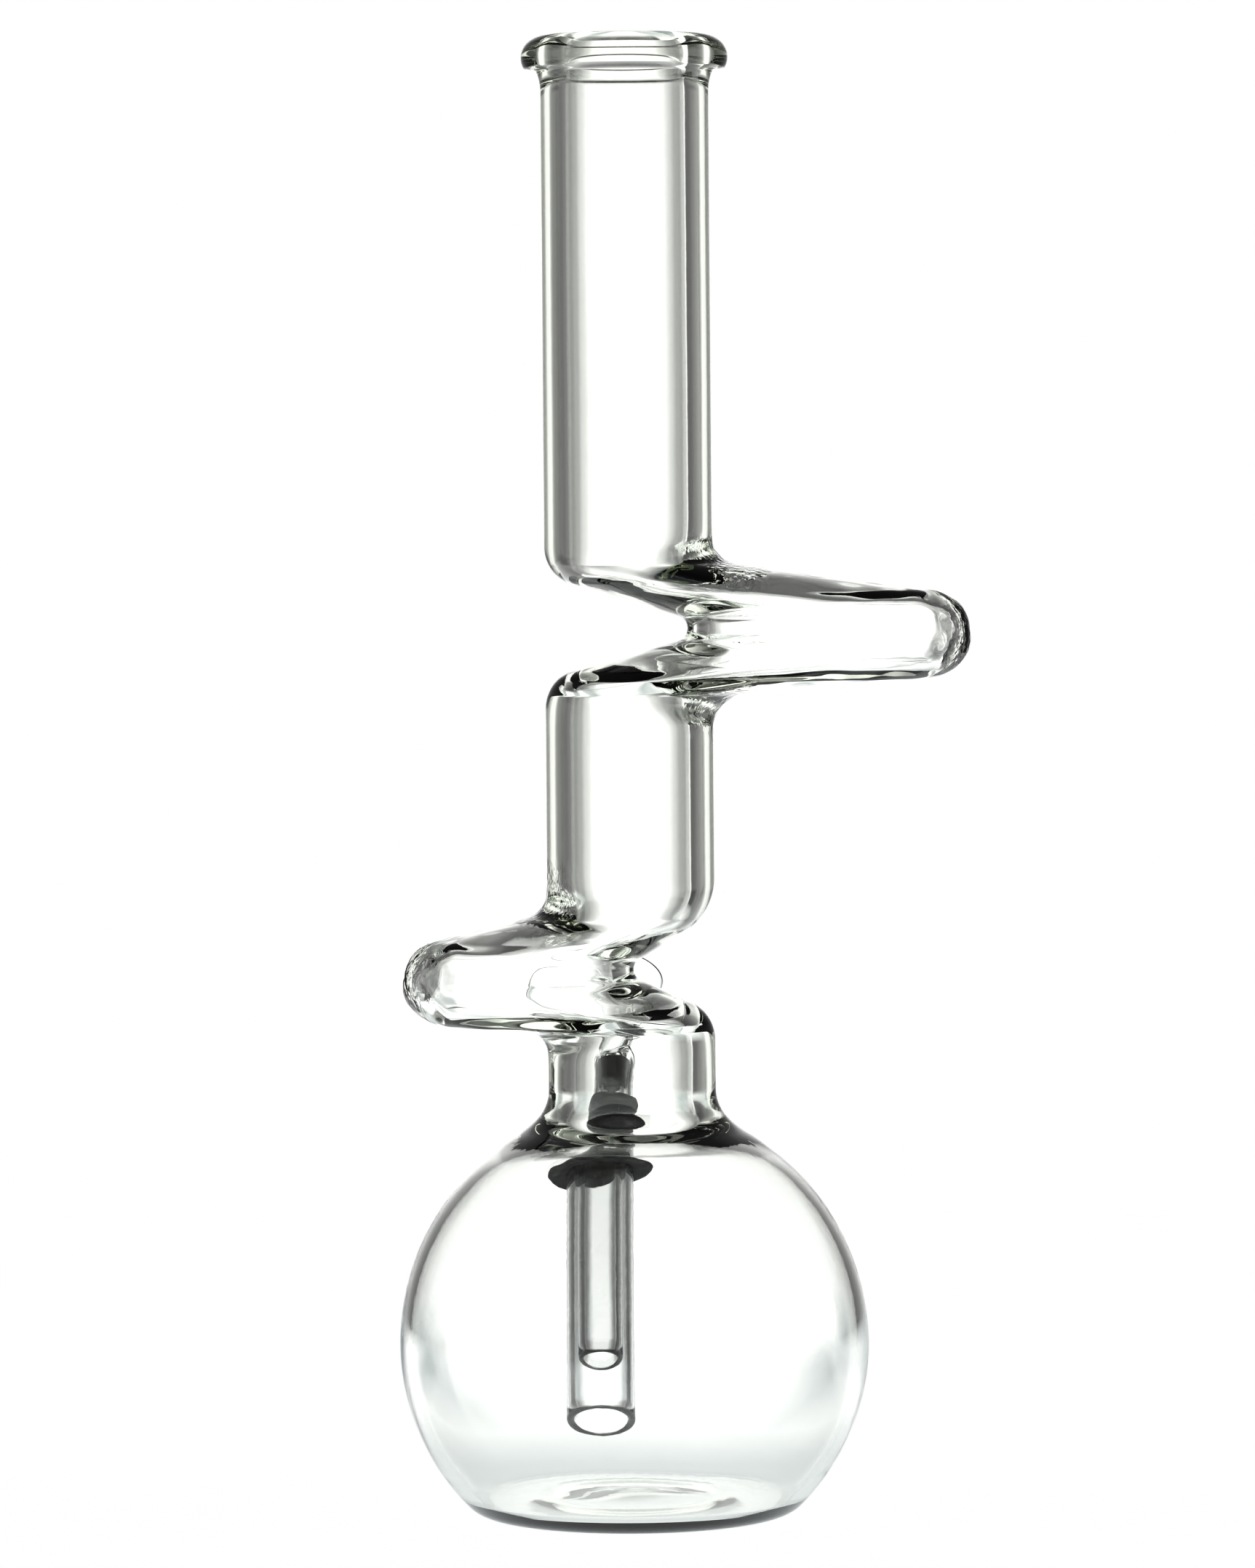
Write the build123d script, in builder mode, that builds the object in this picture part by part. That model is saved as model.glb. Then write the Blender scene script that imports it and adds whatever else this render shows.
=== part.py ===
from build123d import *

import math
import os

# A hand-blown glass water pipe: a flattened bulb on a flat foot, a straight thick-walled neck
# folded sideways twice, a rolled mouth rim, and a rubber-sealed downstem that carries a
# pull-out slide with a funnel bowl. All sizes are millimetres. The foot stands on the origin,
# +Z is up, +X is the way the upper fold points and +Y is the downstem's side.

# ---- overall sizes ----------------------------------------------------------------------
overall_height = 304.8
neck_outer_radius = 17.3
neck_wall = 5.0
neck_bore_radius = neck_outer_radius - neck_wall

# ---- bulb -------------------------------------------------------------------------------
bulb_outer_radius = 48.5
bulb_wall = 2.4
bulb_inner_radius = bulb_outer_radius - bulb_wall
bulb_centre_height = bulb_outer_radius * 0.742
foot_thickness = 3.4
foot_edge_radius = 7.0
shoulder_radius = 5.0
shoulder_inner_radius = 4.0
foot_band_top = 8.0
shoulder_band_bottom = 58.0
sphere_meets_neck = bulb_centre_height + math.sqrt(bulb_outer_radius**2 - neck_outer_radius**2)
bulb_top = sphere_meets_neck + shoulder_radius + 1.6

# ---- folds ------------------------------------------------------------------------------
fold_tip_wall = 4.2
fold_side_wall = 3.6
fold_flank_wall = 2.5
notch_wall = 4.2
notch_flank_wall = 2.8
notch_corner_wall = 4.0
inner_corner_radius = 5.0
arm_sections = 17
outline_steps = 800

fold_end_margin = 0.3

lower_neck_length = 7.6
lower_fold_reach = 47.3
lower_notch_reach = 0.5
middle_tube_length = 30.5
upper_fold_reach = 70.2
upper_notch_reach = 12.1

# ---- mouth ------------------------------------------------------------------------------
rim_bead_radius = 4.5
rim_bead_centre_radius = neck_bore_radius + rim_bead_radius
rim_bead_height = overall_height - rim_bead_radius
rim_bottom = overall_height - 11.8
rim_blend_radius = 2.0

# ---- downstem, grommet, seal and slide ---------------------------------------------------
stem_tilt = 35.0
stem_side_offset = -7.0
hole_height_share = 0.80
grommet_hole_radius = 8.3
downstem_outer_radius = 7.1
downstem_wall = 1.6
downstem_bore_radius = downstem_outer_radius - downstem_wall
downstem_below_hole = 66.7
downstem_above_hole = 19.6
mouth_flare_length = 6.0
mouth_flare = 0.8
running_fit = 0.05
seat_gap = 0.05
grommet_flange_radius = 11.3
grommet_flange_thickness = 1.4
grommet_brim_radius = 9.9
grommet_brim_thickness = 1.6
grommet_dome_height = 6.6
grommet_dome_base_radius = 9.3
grommet_dome_top_radius = 8.2
slide_clearance = 0.8
slide_outer_radius = downstem_bore_radius - slide_clearance
slide_wall = 1.3
slide_bore_radius = slide_outer_radius - slide_wall
slide_below_hole = 52.8
seal_height = 6.5
seal_top_gap = 1.6
seal_bottom_wall = 0.5
bowl_bottom_gap = 0.5
bowl_rim_radius = 13.8
bowl_depth = 18.9
bowl_wall = 1.5
bowl_throat_radius = 2.2
bowl_floor_thickness = 2.0

# The downstem's axis crosses the bulb's outer skin at the middle of the grommet hole. The
# hole's height is chosen first, and its place on the sphere follows from it.
hole_height = bulb_centre_height + bulb_outer_radius * hole_height_share
hole_ring_radius = math.sqrt(bulb_outer_radius**2 - (hole_height - bulb_centre_height) ** 2)
hole_back = math.sqrt(hole_ring_radius**2 - stem_side_offset**2)
stem_direction = (0, math.sin(math.radians(stem_tilt)), math.cos(math.radians(stem_tilt)))
stem_plane = Plane(
    origin=(stem_side_offset, hole_back, hole_height),
    x_dir=(1, 0, 0),
    z_dir=stem_direction,
)
stem_profile_plane = Plane(
    origin=stem_plane.origin,
    x_dir=(1, 0, 0),
    z_dir=-stem_plane.y_dir,
)
stem_axis = Axis(stem_plane.origin, stem_plane.z_dir)

os.makedirs("parts", exist_ok=True)


# ---- shared shapes ----------------------------------------------------------------------
class Bend:
    """One side of one arm of a fold: a straight flank with a round tip and a rounded corner.

    Heights are measured from the middle of the tip, away from it, and reaches from the neck's
    axis. The flank leans from the tip out to the corner, where it turns into the neck's wall.
    """

    def __init__(self, tube, tip, tip_radius, slope, corner_radius):
        lean = math.radians(slope)
        self.tube = tube
        self.tip_centre = tip - tip_radius
        self.tip_radius = tip_radius
        self.lean = math.tan(lean)
        self.flank_height = tip_radius * math.cos(lean)
        self.flank_reach = self.tip_centre + tip_radius * math.sin(lean)
        self.corner_radius = corner_radius
        corner_height = self.flank_height + (self.flank_reach - tube) * self.lean
        touch = corner_radius * math.tan((math.pi / 2 - lean) / 2)
        self.corner_start = corner_height - touch * math.sin(lean)
        self.end = corner_height + touch

    def reach(self, height):
        """How far this side reaches at a height away from the middle of its tip."""
        if height <= self.flank_height:
            return self.tip_centre + math.sqrt(self.tip_radius**2 - height**2)
        if height <= self.corner_start:
            return self.flank_reach - (height - self.flank_height) / self.lean
        if height < self.end:
            rise = math.sqrt(self.corner_radius**2 - (self.end - height) ** 2)
            return self.tube + self.corner_radius - rise
        return self.tube


class Fold:
    """One sideways fold of the neck: a lobe on one side, a notch on the other, two arms."""

    def __init__(self, way, tip, notch, tip_middle, notch_middle, tip_radius, notch_radius, arms):
        self.way = way
        self.tip_middle = tip_middle
        self.notch_middle = notch_middle
        self.sides = {}
        for above, (tip_slope, tip_corner, notch_slope, notch_corner) in arms.items():
            self.sides[above, 0] = (
                Bend(neck_outer_radius, tip, tip_radius, tip_slope, tip_corner),
                Bend(-neck_outer_radius, notch, notch_radius, notch_slope, notch_corner),
            )
            self.sides[above, 1] = (
                Bend(
                    neck_bore_radius,
                    tip - fold_tip_wall,
                    tip_radius - fold_flank_wall,
                    tip_slope,
                    inner_corner_radius,
                ),
                Bend(
                    -neck_bore_radius,
                    notch + notch_wall,
                    notch_radius + notch_flank_wall,
                    notch_slope,
                    notch_corner - notch_corner_wall,
                ),
            )
        self.top = fold_end_margin + max(
            max(self.sides[True, skin][0].end + tip_middle for skin in (0, 1)),
            max(self.sides[True, skin][1].end + notch_middle for skin in (0, 1)),
        )
        self.bottom = fold_end_margin + max(
            max(self.sides[False, skin][0].end - tip_middle for skin in (0, 1)),
            max(self.sides[False, skin][1].end - notch_middle for skin in (0, 1)),
        )

    def ends(self, height, skin):
        """Notch-side and tip-side reach of the section: skin 0 is the outside, 1 the inside."""
        from_tip = height - self.tip_middle
        from_notch = height - self.notch_middle
        tip_reach = self.sides[from_tip > 0, skin][0].reach(abs(from_tip))
        notch_reach = self.sides[from_notch > 0, skin][1].reach(abs(from_notch))
        return notch_reach, tip_reach

    def heights(self, skin, above):
        """Section heights of one arm, spaced evenly along its outline, closest where it runs flat."""
        start, end = (0.0, self.top) if above else (-self.bottom, 0.0)
        samples = [start + (end - start) * i / outline_steps for i in range(outline_steps + 1)]
        lengths = [0.0]
        for low, high in zip(samples, samples[1:]):
            notch_low, tip_low = self.ends(low, skin)
            notch_high, tip_high = self.ends(high, skin)
            run = max(abs(tip_high - tip_low), abs(notch_high - notch_low))
            lengths.append(lengths[-1] + math.hypot(high - low, run))
        chosen = []
        for i in range(arm_sections):
            wanted = lengths[-1] * i / (arm_sections - 1)
            nearest = min(range(len(samples)), key=lambda k: abs(lengths[k] - wanted))
            chosen.append(samples[nearest])
        return chosen

    def section(self, height, skin):
        """The oval at this height: its middle along X and its two half sizes."""
        notch_end, tip_end = self.ends(height, skin)
        lobe = self.sides[True, skin][0]
        share = (tip_end - lobe.tube) / (lobe.tip_centre + lobe.tip_radius - lobe.tube)
        side_wall = neck_wall + (fold_side_wall - neck_wall) * share
        half_depth = neck_outer_radius - skin * side_wall
        return self.way * (notch_end + tip_end) / 2, (tip_end - notch_end) / 2, half_depth


def oval_sections(fold, middle_height, skin, above):
    """Every oval section of one skin of a fold's arm, from the bottom up, ready to be lofted."""
    ovals = []
    for height in fold.heights(skin, above):
        middle, half_width, half_depth = fold.section(height, skin)
        with BuildSketch(Plane.XY.offset(middle_height + height)) as oval:
            with Locations((middle, 0)):
                Ellipse(half_width, half_depth)
        ovals.append(oval.sketch)
    return ovals


def bulb_outline(radius, floor, neck_radius, top, edge_radius, blend_radius):
    """Half outline of the bulb with its neck stub, on the XZ plane, for revolving."""
    centre = bulb_centre_height
    with BuildSketch(Plane.XZ) as outline:
        with Locations((0, centre)):
            Circle(radius)
        with Locations((0, centre)):
            Rectangle(2 * neck_radius, top - centre, align=(Align.CENTER, Align.MIN))
        with Locations((0, floor)):
            Rectangle(4 * radius, 2 * radius, align=(Align.CENTER, Align.MAX), mode=Mode.SUBTRACT)
        foot_corners = outline.vertices().group_by(Axis.Y)[0]
        fillet(foot_corners, radius=edge_radius)
        join = centre + math.sqrt(radius**2 - neck_radius**2)
        waist = [v for v in outline.vertices() if abs(v.Y - join) < 0.01]
        fillet(waist, radius=blend_radius)
        Rectangle(4 * radius, 8 * radius, align=(Align.MAX, Align.CENTER), mode=Mode.SUBTRACT)
    return outline.sketch


def ring(plane, outer, inner):
    """A flat ring on a plane, ready to be extruded into a tube."""
    with BuildSketch(plane) as flat_ring:
        Circle(outer)
        Circle(inner, mode=Mode.SUBTRACT)
    return flat_ring.sketch


def neck_ring(height):
    """The neck's own cross section at a height."""
    return ring(Plane.XY.offset(height), neck_outer_radius, neck_bore_radius)


# Each arm's numbers: slope and corner radius of the lobe's flank, then of the notch's.
lower_fold = Fold(
    way=-1,
    tip=lower_fold_reach,
    notch=-lower_notch_reach,
    tip_middle=0.9,
    notch_middle=3.3,
    tip_radius=8.8,
    notch_radius=2.4,
    arms={True: (13.5, 5.0, 31.0, 13.0), False: (4.0, 4.5, 24.0, 9.0)},
)
upper_fold = Fold(
    way=1,
    tip=upper_fold_reach,
    notch=upper_notch_reach,
    tip_middle=-0.5,
    notch_middle=1.0,
    tip_radius=9.2,
    notch_radius=2.6,
    arms={True: (7.8, 5.0, 17.0, 8.0), False: (4.2, 7.0, 15.5, 8.0)},
)

# Heights along the neck, stacked up from the bulb; the mouth tube takes what is left.
lower_fold_start = bulb_top + lower_neck_length
lower_fold_height = lower_fold_start + lower_fold.bottom
lower_fold_end = lower_fold_height + lower_fold.top
upper_fold_start = lower_fold_end + middle_tube_length
upper_fold_height = upper_fold_start + upper_fold.bottom
upper_fold_end = upper_fold_height + upper_fold.top

# ---- bulb with its flat foot, neck stub and grommet hole, in four bands --------------------
outer_outline = bulb_outline(
    bulb_outer_radius, 0, neck_outer_radius, bulb_top, foot_edge_radius, shoulder_radius
)
inner_outline = bulb_outline(
    bulb_inner_radius,
    foot_thickness,
    neck_bore_radius,
    bulb_top + 1,
    foot_edge_radius - bulb_wall,
    shoulder_inner_radius,
)
with BuildPart() as whole_bulb:
    add(outer_outline)
    revolve(axis=Axis.Z)
    add(inner_outline)
    revolve(axis=Axis.Z, mode=Mode.SUBTRACT)
    with BuildSketch(stem_plane.offset(-12)):
        Circle(grommet_hole_radius)
    extrude(amount=24, mode=Mode.SUBTRACT)

with BuildPart() as bulb_foot:
    add(whole_bulb.part)
    split(bisect_by=Plane.XY.offset(foot_band_top), keep=Keep.BOTTOM)
bulb_foot.part.label = "bulb_foot"
export_step(bulb_foot.part, "parts/bulb_foot.step")

with BuildPart() as bulb_lower_wall:
    add(whole_bulb.part)
    split(bisect_by=Plane.XY.offset(foot_band_top), keep=Keep.TOP)
    split(bisect_by=Plane.XY.offset(bulb_centre_height), keep=Keep.BOTTOM)
bulb_lower_wall.part.label = "bulb_lower_wall"
export_step(bulb_lower_wall.part, "parts/bulb_lower_wall.step")

with BuildPart() as bulb_upper_wall:
    add(whole_bulb.part)
    split(bisect_by=Plane.XY.offset(bulb_centre_height), keep=Keep.TOP)
    split(bisect_by=Plane.XY.offset(shoulder_band_bottom), keep=Keep.BOTTOM)
bulb_upper_wall.part.label = "bulb_upper_wall"
export_step(bulb_upper_wall.part, "parts/bulb_upper_wall.step")

with BuildPart() as bulb_shoulder:
    add(whole_bulb.part)
    split(bisect_by=Plane.XY.offset(shoulder_band_bottom), keep=Keep.TOP)
bulb_shoulder.part.label = "bulb_shoulder"
export_step(bulb_shoulder.part, "parts/bulb_shoulder.step")

# ---- straight lengths of neck --------------------------------------------------------------
with BuildPart() as lower_neck:
    extrude(neck_ring(bulb_top), amount=lower_fold_start - bulb_top)
lower_neck.part.label = "lower_neck"
export_step(lower_neck.part, "parts/lower_neck.step")

with BuildPart() as middle_tube:
    extrude(neck_ring(lower_fold_end), amount=upper_fold_start - lower_fold_end)
middle_tube.part.label = "middle_tube"
export_step(middle_tube.part, "parts/middle_tube.step")

with BuildPart() as mouth_tube:
    extrude(neck_ring(upper_fold_end), amount=rim_bottom - upper_fold_end)
mouth_tube.part.label = "mouth_tube"
export_step(mouth_tube.part, "parts/mouth_tube.step")

# ---- the two folds, each a lower and an upper arm that meet at the tip -----------------------
with BuildPart() as lower_fold_lower_arm:
    loft(oval_sections(lower_fold, lower_fold_height, 0, above=False))
    loft(oval_sections(lower_fold, lower_fold_height, 1, above=False), mode=Mode.SUBTRACT)
lower_fold_lower_arm.part.label = "lower_fold_lower_arm"
export_step(lower_fold_lower_arm.part, "parts/lower_fold_lower_arm.step")

with BuildPart() as lower_fold_upper_arm:
    loft(oval_sections(lower_fold, lower_fold_height, 0, above=True))
    loft(oval_sections(lower_fold, lower_fold_height, 1, above=True), mode=Mode.SUBTRACT)
lower_fold_upper_arm.part.label = "lower_fold_upper_arm"
export_step(lower_fold_upper_arm.part, "parts/lower_fold_upper_arm.step")

with BuildPart() as upper_fold_lower_arm:
    loft(oval_sections(upper_fold, upper_fold_height, 0, above=False))
    loft(oval_sections(upper_fold, upper_fold_height, 1, above=False), mode=Mode.SUBTRACT)
upper_fold_lower_arm.part.label = "upper_fold_lower_arm"
export_step(upper_fold_lower_arm.part, "parts/upper_fold_lower_arm.step")

with BuildPart() as upper_fold_upper_arm:
    loft(oval_sections(upper_fold, upper_fold_height, 0, above=True))
    loft(oval_sections(upper_fold, upper_fold_height, 1, above=True), mode=Mode.SUBTRACT)
upper_fold_upper_arm.part.label = "upper_fold_upper_arm"
export_step(upper_fold_upper_arm.part, "parts/upper_fold_upper_arm.step")

# ---- rolled mouth rim ----------------------------------------------------------------------
with BuildPart() as mouth_rim:
    with BuildSketch(Plane.XZ) as rim_profile:
        with Locations((neck_bore_radius, rim_bottom)):
            Rectangle(
                neck_wall,
                rim_bead_height - rim_bottom,
                align=(Align.MIN, Align.MIN),
            )
        with Locations((rim_bead_centre_radius, rim_bead_height)):
            Circle(rim_bead_radius)
        bead_joins = [
            v
            for v in rim_profile.vertices()
            if rim_bottom + 1 < v.Y < rim_bead_height and v.X > neck_bore_radius + 1
        ]
        fillet(bead_joins, radius=rim_blend_radius)
    revolve(axis=Axis.Z)
mouth_rim.part.label = "mouth_rim"
export_step(mouth_rim.part, "parts/mouth_rim.step")

# ---- rubber grommet in the bulb's wall -----------------------------------------------------
with BuildPart() as groove_shape:
    with Locations((0, 0, bulb_centre_height)):
        Sphere(bulb_outer_radius + seat_gap)
        Sphere(bulb_inner_radius - seat_gap, mode=Mode.SUBTRACT)
    with BuildSketch(stem_plane.offset(-20)):
        Circle(grommet_hole_radius - seat_gap)
    extrude(amount=40, mode=Mode.SUBTRACT)

with BuildPart() as inner_flange:
    with BuildSketch(stem_plane.offset(-15)):
        Circle(grommet_flange_radius)
    extrude(amount=30)
    with Locations((0, 0, bulb_centre_height)):
        Sphere(bulb_inner_radius - seat_gap, mode=Mode.INTERSECT)
        Sphere(bulb_inner_radius - grommet_flange_thickness, mode=Mode.SUBTRACT)

with BuildPart() as outer_brim:
    with BuildSketch(stem_plane.offset(-15)):
        Circle(grommet_brim_radius)
    extrude(amount=30)
    with Locations((0, 0, bulb_centre_height)):
        Sphere(bulb_outer_radius + grommet_brim_thickness, mode=Mode.INTERSECT)

with BuildPart() as wall_grommet:
    add(inner_flange.part)
    add(outer_brim.part)
    with BuildSketch(stem_plane):
        Circle(grommet_dome_base_radius)
    with BuildSketch(stem_plane.offset(grommet_dome_height)):
        Circle(grommet_dome_top_radius)
    loft()
    with Locations((0, 0, bulb_centre_height)):
        Sphere(bulb_inner_radius - grommet_flange_thickness, mode=Mode.SUBTRACT)
    add(groove_shape.part, mode=Mode.SUBTRACT)
    with BuildSketch(stem_plane.offset(-20)):
        Circle(downstem_outer_radius + running_fit)
    extrude(amount=40, mode=Mode.SUBTRACT)
wall_grommet.part.label = "wall_grommet"
export_step(wall_grommet.part, "parts/wall_grommet.step")

# ---- glass downstem with a flared mouth ----------------------------------------------------
flare_start = downstem_above_hole - mouth_flare_length
with BuildPart() as downstem:
    lower_end = stem_plane.offset(-downstem_below_hole)
    extrude(
        ring(lower_end, downstem_outer_radius, downstem_bore_radius),
        amount=downstem_below_hole + flare_start,
    )
    with BuildSketch(stem_plane.offset(flare_start)):
        Circle(downstem_outer_radius)
    with BuildSketch(stem_plane.offset(downstem_above_hole)):
        Circle(downstem_outer_radius + mouth_flare)
    loft()
    with BuildSketch(stem_plane.offset(flare_start)):
        Circle(downstem_bore_radius)
    with BuildSketch(stem_plane.offset(downstem_above_hole)):
        Circle(downstem_bore_radius + mouth_flare)
    loft(mode=Mode.SUBTRACT)
downstem.part.label = "downstem"
export_step(downstem.part, "parts/downstem.step")

# ---- tapered rubber seal in the downstem's mouth --------------------------------------------
seal_top = downstem_above_hole - seal_top_gap
seal_bottom = seal_top - seal_height
seal_flare = mouth_flare * (seal_top - flare_start) / mouth_flare_length
seal_bore_radius = slide_outer_radius + running_fit
with BuildPart() as slide_seal:
    with BuildSketch(stem_plane.offset(seal_bottom)):
        Circle(seal_bore_radius + seal_bottom_wall)
    with BuildSketch(stem_plane.offset(seal_top)):
        Circle(downstem_bore_radius - seat_gap + seal_flare)
    loft()
    with BuildSketch(stem_plane.offset(seal_bottom)):
        Circle(seal_bore_radius)
    extrude(amount=seal_height, mode=Mode.SUBTRACT)
slide_seal.part.label = "slide_seal"
export_step(slide_seal.part, "parts/slide_seal.step")

# ---- slide: a straight stem with a funnel bowl fused on top ----------------------------------
bowl_bottom = downstem_above_hole + bowl_bottom_gap
with BuildPart() as slide_stem:
    lower_end = stem_plane.offset(-slide_below_hole)
    extrude(
        ring(lower_end, slide_outer_radius, slide_bore_radius),
        amount=slide_below_hole + bowl_bottom,
    )
slide_stem.part.label = "slide_stem"
export_step(slide_stem.part, "parts/slide_stem.step")

with BuildPart() as slide_bowl:
    with BuildSketch(stem_profile_plane):
        with BuildLine():
            floor_inner = bowl_bottom + bowl_floor_thickness
            rim_height = bowl_bottom + bowl_depth
            shoulder = bowl_bottom + 0.30 * bowl_depth
            throat = Line((bowl_throat_radius, bowl_bottom), (bowl_throat_radius, floor_inner))
            inside = Spline(
                throat @ 1,
                (slide_outer_radius + 0.4, shoulder + 0.8),
                (bowl_rim_radius - bowl_wall, rim_height),
            )
            Line(inside @ 1, (bowl_rim_radius, rim_height))
            outside = Spline(
                (bowl_rim_radius, rim_height),
                (slide_outer_radius + 2.0, shoulder),
                (slide_outer_radius, bowl_bottom),
            )
            Line(outside @ 1, throat @ 0)
        make_face()
    revolve(axis=stem_axis)
slide_bowl.part.label = "slide_bowl"
export_step(slide_bowl.part, "parts/slide_bowl.step")
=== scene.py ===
import math

import bpy
from mathutils import Matrix, Vector, noise


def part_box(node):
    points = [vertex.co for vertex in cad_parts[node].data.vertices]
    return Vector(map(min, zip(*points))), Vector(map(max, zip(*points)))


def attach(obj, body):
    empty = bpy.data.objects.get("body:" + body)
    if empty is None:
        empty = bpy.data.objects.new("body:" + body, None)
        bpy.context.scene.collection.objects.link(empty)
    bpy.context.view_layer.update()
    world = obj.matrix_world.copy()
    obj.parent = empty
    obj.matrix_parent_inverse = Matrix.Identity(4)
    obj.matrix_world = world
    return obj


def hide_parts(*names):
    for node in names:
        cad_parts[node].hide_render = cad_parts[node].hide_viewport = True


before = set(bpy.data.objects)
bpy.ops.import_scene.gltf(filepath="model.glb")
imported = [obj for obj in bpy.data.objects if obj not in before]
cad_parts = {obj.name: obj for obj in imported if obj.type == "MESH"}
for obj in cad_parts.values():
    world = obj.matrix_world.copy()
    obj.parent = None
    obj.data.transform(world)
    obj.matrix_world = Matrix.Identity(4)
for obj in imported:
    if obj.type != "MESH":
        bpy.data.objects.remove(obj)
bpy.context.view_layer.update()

# A clear glass water pipe with a bulb base, a neck folded sideways twice, a rolled mouth and a
# rubber-sealed downstem with a pull-out slide. Lengths below are in millimetres unless a name
# says otherwise, and become metres as each mesh is made. The CAD frame is used throughout:
# +Z up, +X the way the upper fold points, +Y the downstem's side.
MM = 0.001
scene = bpy.context.scene


# ---- sizes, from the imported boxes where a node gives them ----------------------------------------
def box_mm(node):
    low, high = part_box(node)
    return [v / MM for v in low], [v / MM for v in high]


neck_low, neck_high = box_mm("lower_neck")
bulb_low, bulb_high = box_mm("bulb_lower_wall")
rim_low, rim_high = box_mm("mouth_rim")
lower_low, lower_high = box_mm("lower_fold_lower_arm")
lower_top = box_mm("lower_fold_upper_arm")[1]
upper_low, upper_high = box_mm("upper_fold_lower_arm")
upper_top = box_mm("upper_fold_upper_arm")[1]

NECK_R = neck_high[0]
NECK_WALL = 5.0
BORE_R = NECK_R - NECK_WALL
BULB_R = bulb_high[0]
BULB_WALL = 2.4
BULB_IN_R = BULB_R - BULB_WALL
BULB_Z = bulb_high[2]                 # the lower wall's box ends at the bulb's middle
OUTER_BLEND = 10.5                    # radius of the hollow curve from bulb to neck
INNER_BLEND = 9.0
FOOT_EDGE = 7.0                       # radius of the foot's rounded edge
FOOT_EDGE_CENTRE = 29.7
FOOT_DIMPLE = 0.9
FLOOR = 3.4                           # thickness of glass in the foot
TOP = rim_high[2]
BEAD_R = 4.5
BEAD_CENTRE = BORE_R + BEAD_R
BEAD_Z = TOP - BEAD_R
RIM_START = BEAD_Z - 7.3

# walls of the folds, which are thicker at the tips and thinner on the flanks
TIP_WALL = 4.2
NOTCH_WALL = 4.2
SIDE_WALL = 3.6
FLANK_WALL = 2.5
NOTCH_FLANK_WALL = 2.8
NOTCH_CORNER_WALL = 4.0
INNER_CORNER_R = 5.0


# ---- the two folds, as stacked ovals -------------------------------------------------------------
class Bend:
    """One side of a fold's arm: a round tip, a straight leaning flank and a rounded corner."""

    def __init__(self, tube, tip, tip_radius, slope, corner_radius):
        lean = math.radians(slope)
        self.tube = tube
        self.tip_centre = tip - tip_radius
        self.tip_radius = tip_radius
        self.lean = math.tan(lean)
        self.flank_height = tip_radius * math.cos(lean)
        self.flank_reach = self.tip_centre + tip_radius * math.sin(lean)
        self.corner_radius = corner_radius
        corner_height = self.flank_height + (self.flank_reach - tube) * self.lean
        touch = corner_radius * math.tan((math.pi / 2 - lean) / 2)
        self.corner_start = corner_height - touch * math.sin(lean)
        self.end = corner_height + touch

    def reach(self, height):
        if height <= self.flank_height:
            return self.tip_centre + math.sqrt(self.tip_radius**2 - height**2)
        if height <= self.corner_start:
            return self.flank_reach - (height - self.flank_height) / self.lean
        if height < self.end:
            rise = math.sqrt(self.corner_radius**2 - (self.end - height) ** 2)
            return self.tube + self.corner_radius - rise
        return self.tube


class Fold:
    """One sideways fold: way is -1 or 1 along X, and its arms meet at the middle height.

    tip and notch are how far the outline reaches on either side, radii are theirs, and arms maps
    above or below the middle to the tip's slope and corner and the notch's slope and corner.
    """

    def __init__(self, way, bottom, middle, top, tip, notch, middles, radii, arms):
        self.way, self.bottom, self.middle, self.top = way, bottom, middle, top
        self.reach, self.notch_out = tip, notch + NOTCH_WALL
        self.tip_middle, self.notch_middle = middles
        self.sides = {}
        for above, (tip_slope, tip_corner, notch_slope, notch_corner) in arms.items():
            self.sides[above, 0] = (
                Bend(NECK_R, tip, radii[0], tip_slope, tip_corner),
                Bend(-NECK_R, notch, radii[1], notch_slope, notch_corner),
            )
            self.sides[above, 1] = (
                Bend(BORE_R, tip - TIP_WALL, radii[0] - FLANK_WALL, tip_slope, INNER_CORNER_R),
                Bend(
                    -BORE_R, notch + NOTCH_WALL, radii[1] + NOTCH_FLANK_WALL, notch_slope,
                    notch_corner - NOTCH_CORNER_WALL,
                ),
            )

    def oval(self, z, skin):
        """Middle along X and the two half sizes of the section at z; skin 0 outer, 1 inner."""
        h = z - self.middle
        from_tip, from_notch = h - self.tip_middle, h - self.notch_middle
        high = self.sides[from_tip > 0, skin][0].reach(abs(from_tip))
        low = self.sides[from_notch > 0, skin][1].reach(abs(from_notch))
        lobe = self.sides[True, skin][0]
        share = (high - lobe.tube) / (lobe.tip_centre + lobe.tip_radius - lobe.tube)
        wall = NECK_WALL + (SIDE_WALL - NECK_WALL) * share
        return self.way * (low + high) / 2, (high - low) / 2, NECK_R - skin * wall


lower_fold = Fold(
    -1, lower_low[2], lower_high[2], lower_top[2], -lower_low[0], -0.5,
    (0.9, 3.3), (8.8, 2.4),
    {True: (13.5, 5.0, 31.0, 13.0), False: (4.0, 4.5, 24.0, 9.0)},
)
upper_fold = Fold(
    1, upper_low[2], upper_high[2], upper_top[2], upper_high[0], 12.1,
    (-0.5, 1.0), (9.2, 2.6),
    {True: (7.8, 5.0, 17.0, 8.0), False: (4.2, 7.0, 15.5, 8.0)},
)


# ---- mesh helpers --------------------------------------------------------------------------------
def make_object(name, verts, faces, smooth=True):
    mesh = bpy.data.meshes.new(name)
    mesh.from_pydata([tuple(c * MM for c in v) for v in verts], [], faces)
    mesh.update()
    mesh.polygons.foreach_set("use_smooth", [smooth] * len(mesh.polygons))
    obj = bpy.data.objects.new(name, mesh)
    bpy.context.collection.objects.link(obj)
    return obj


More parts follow.
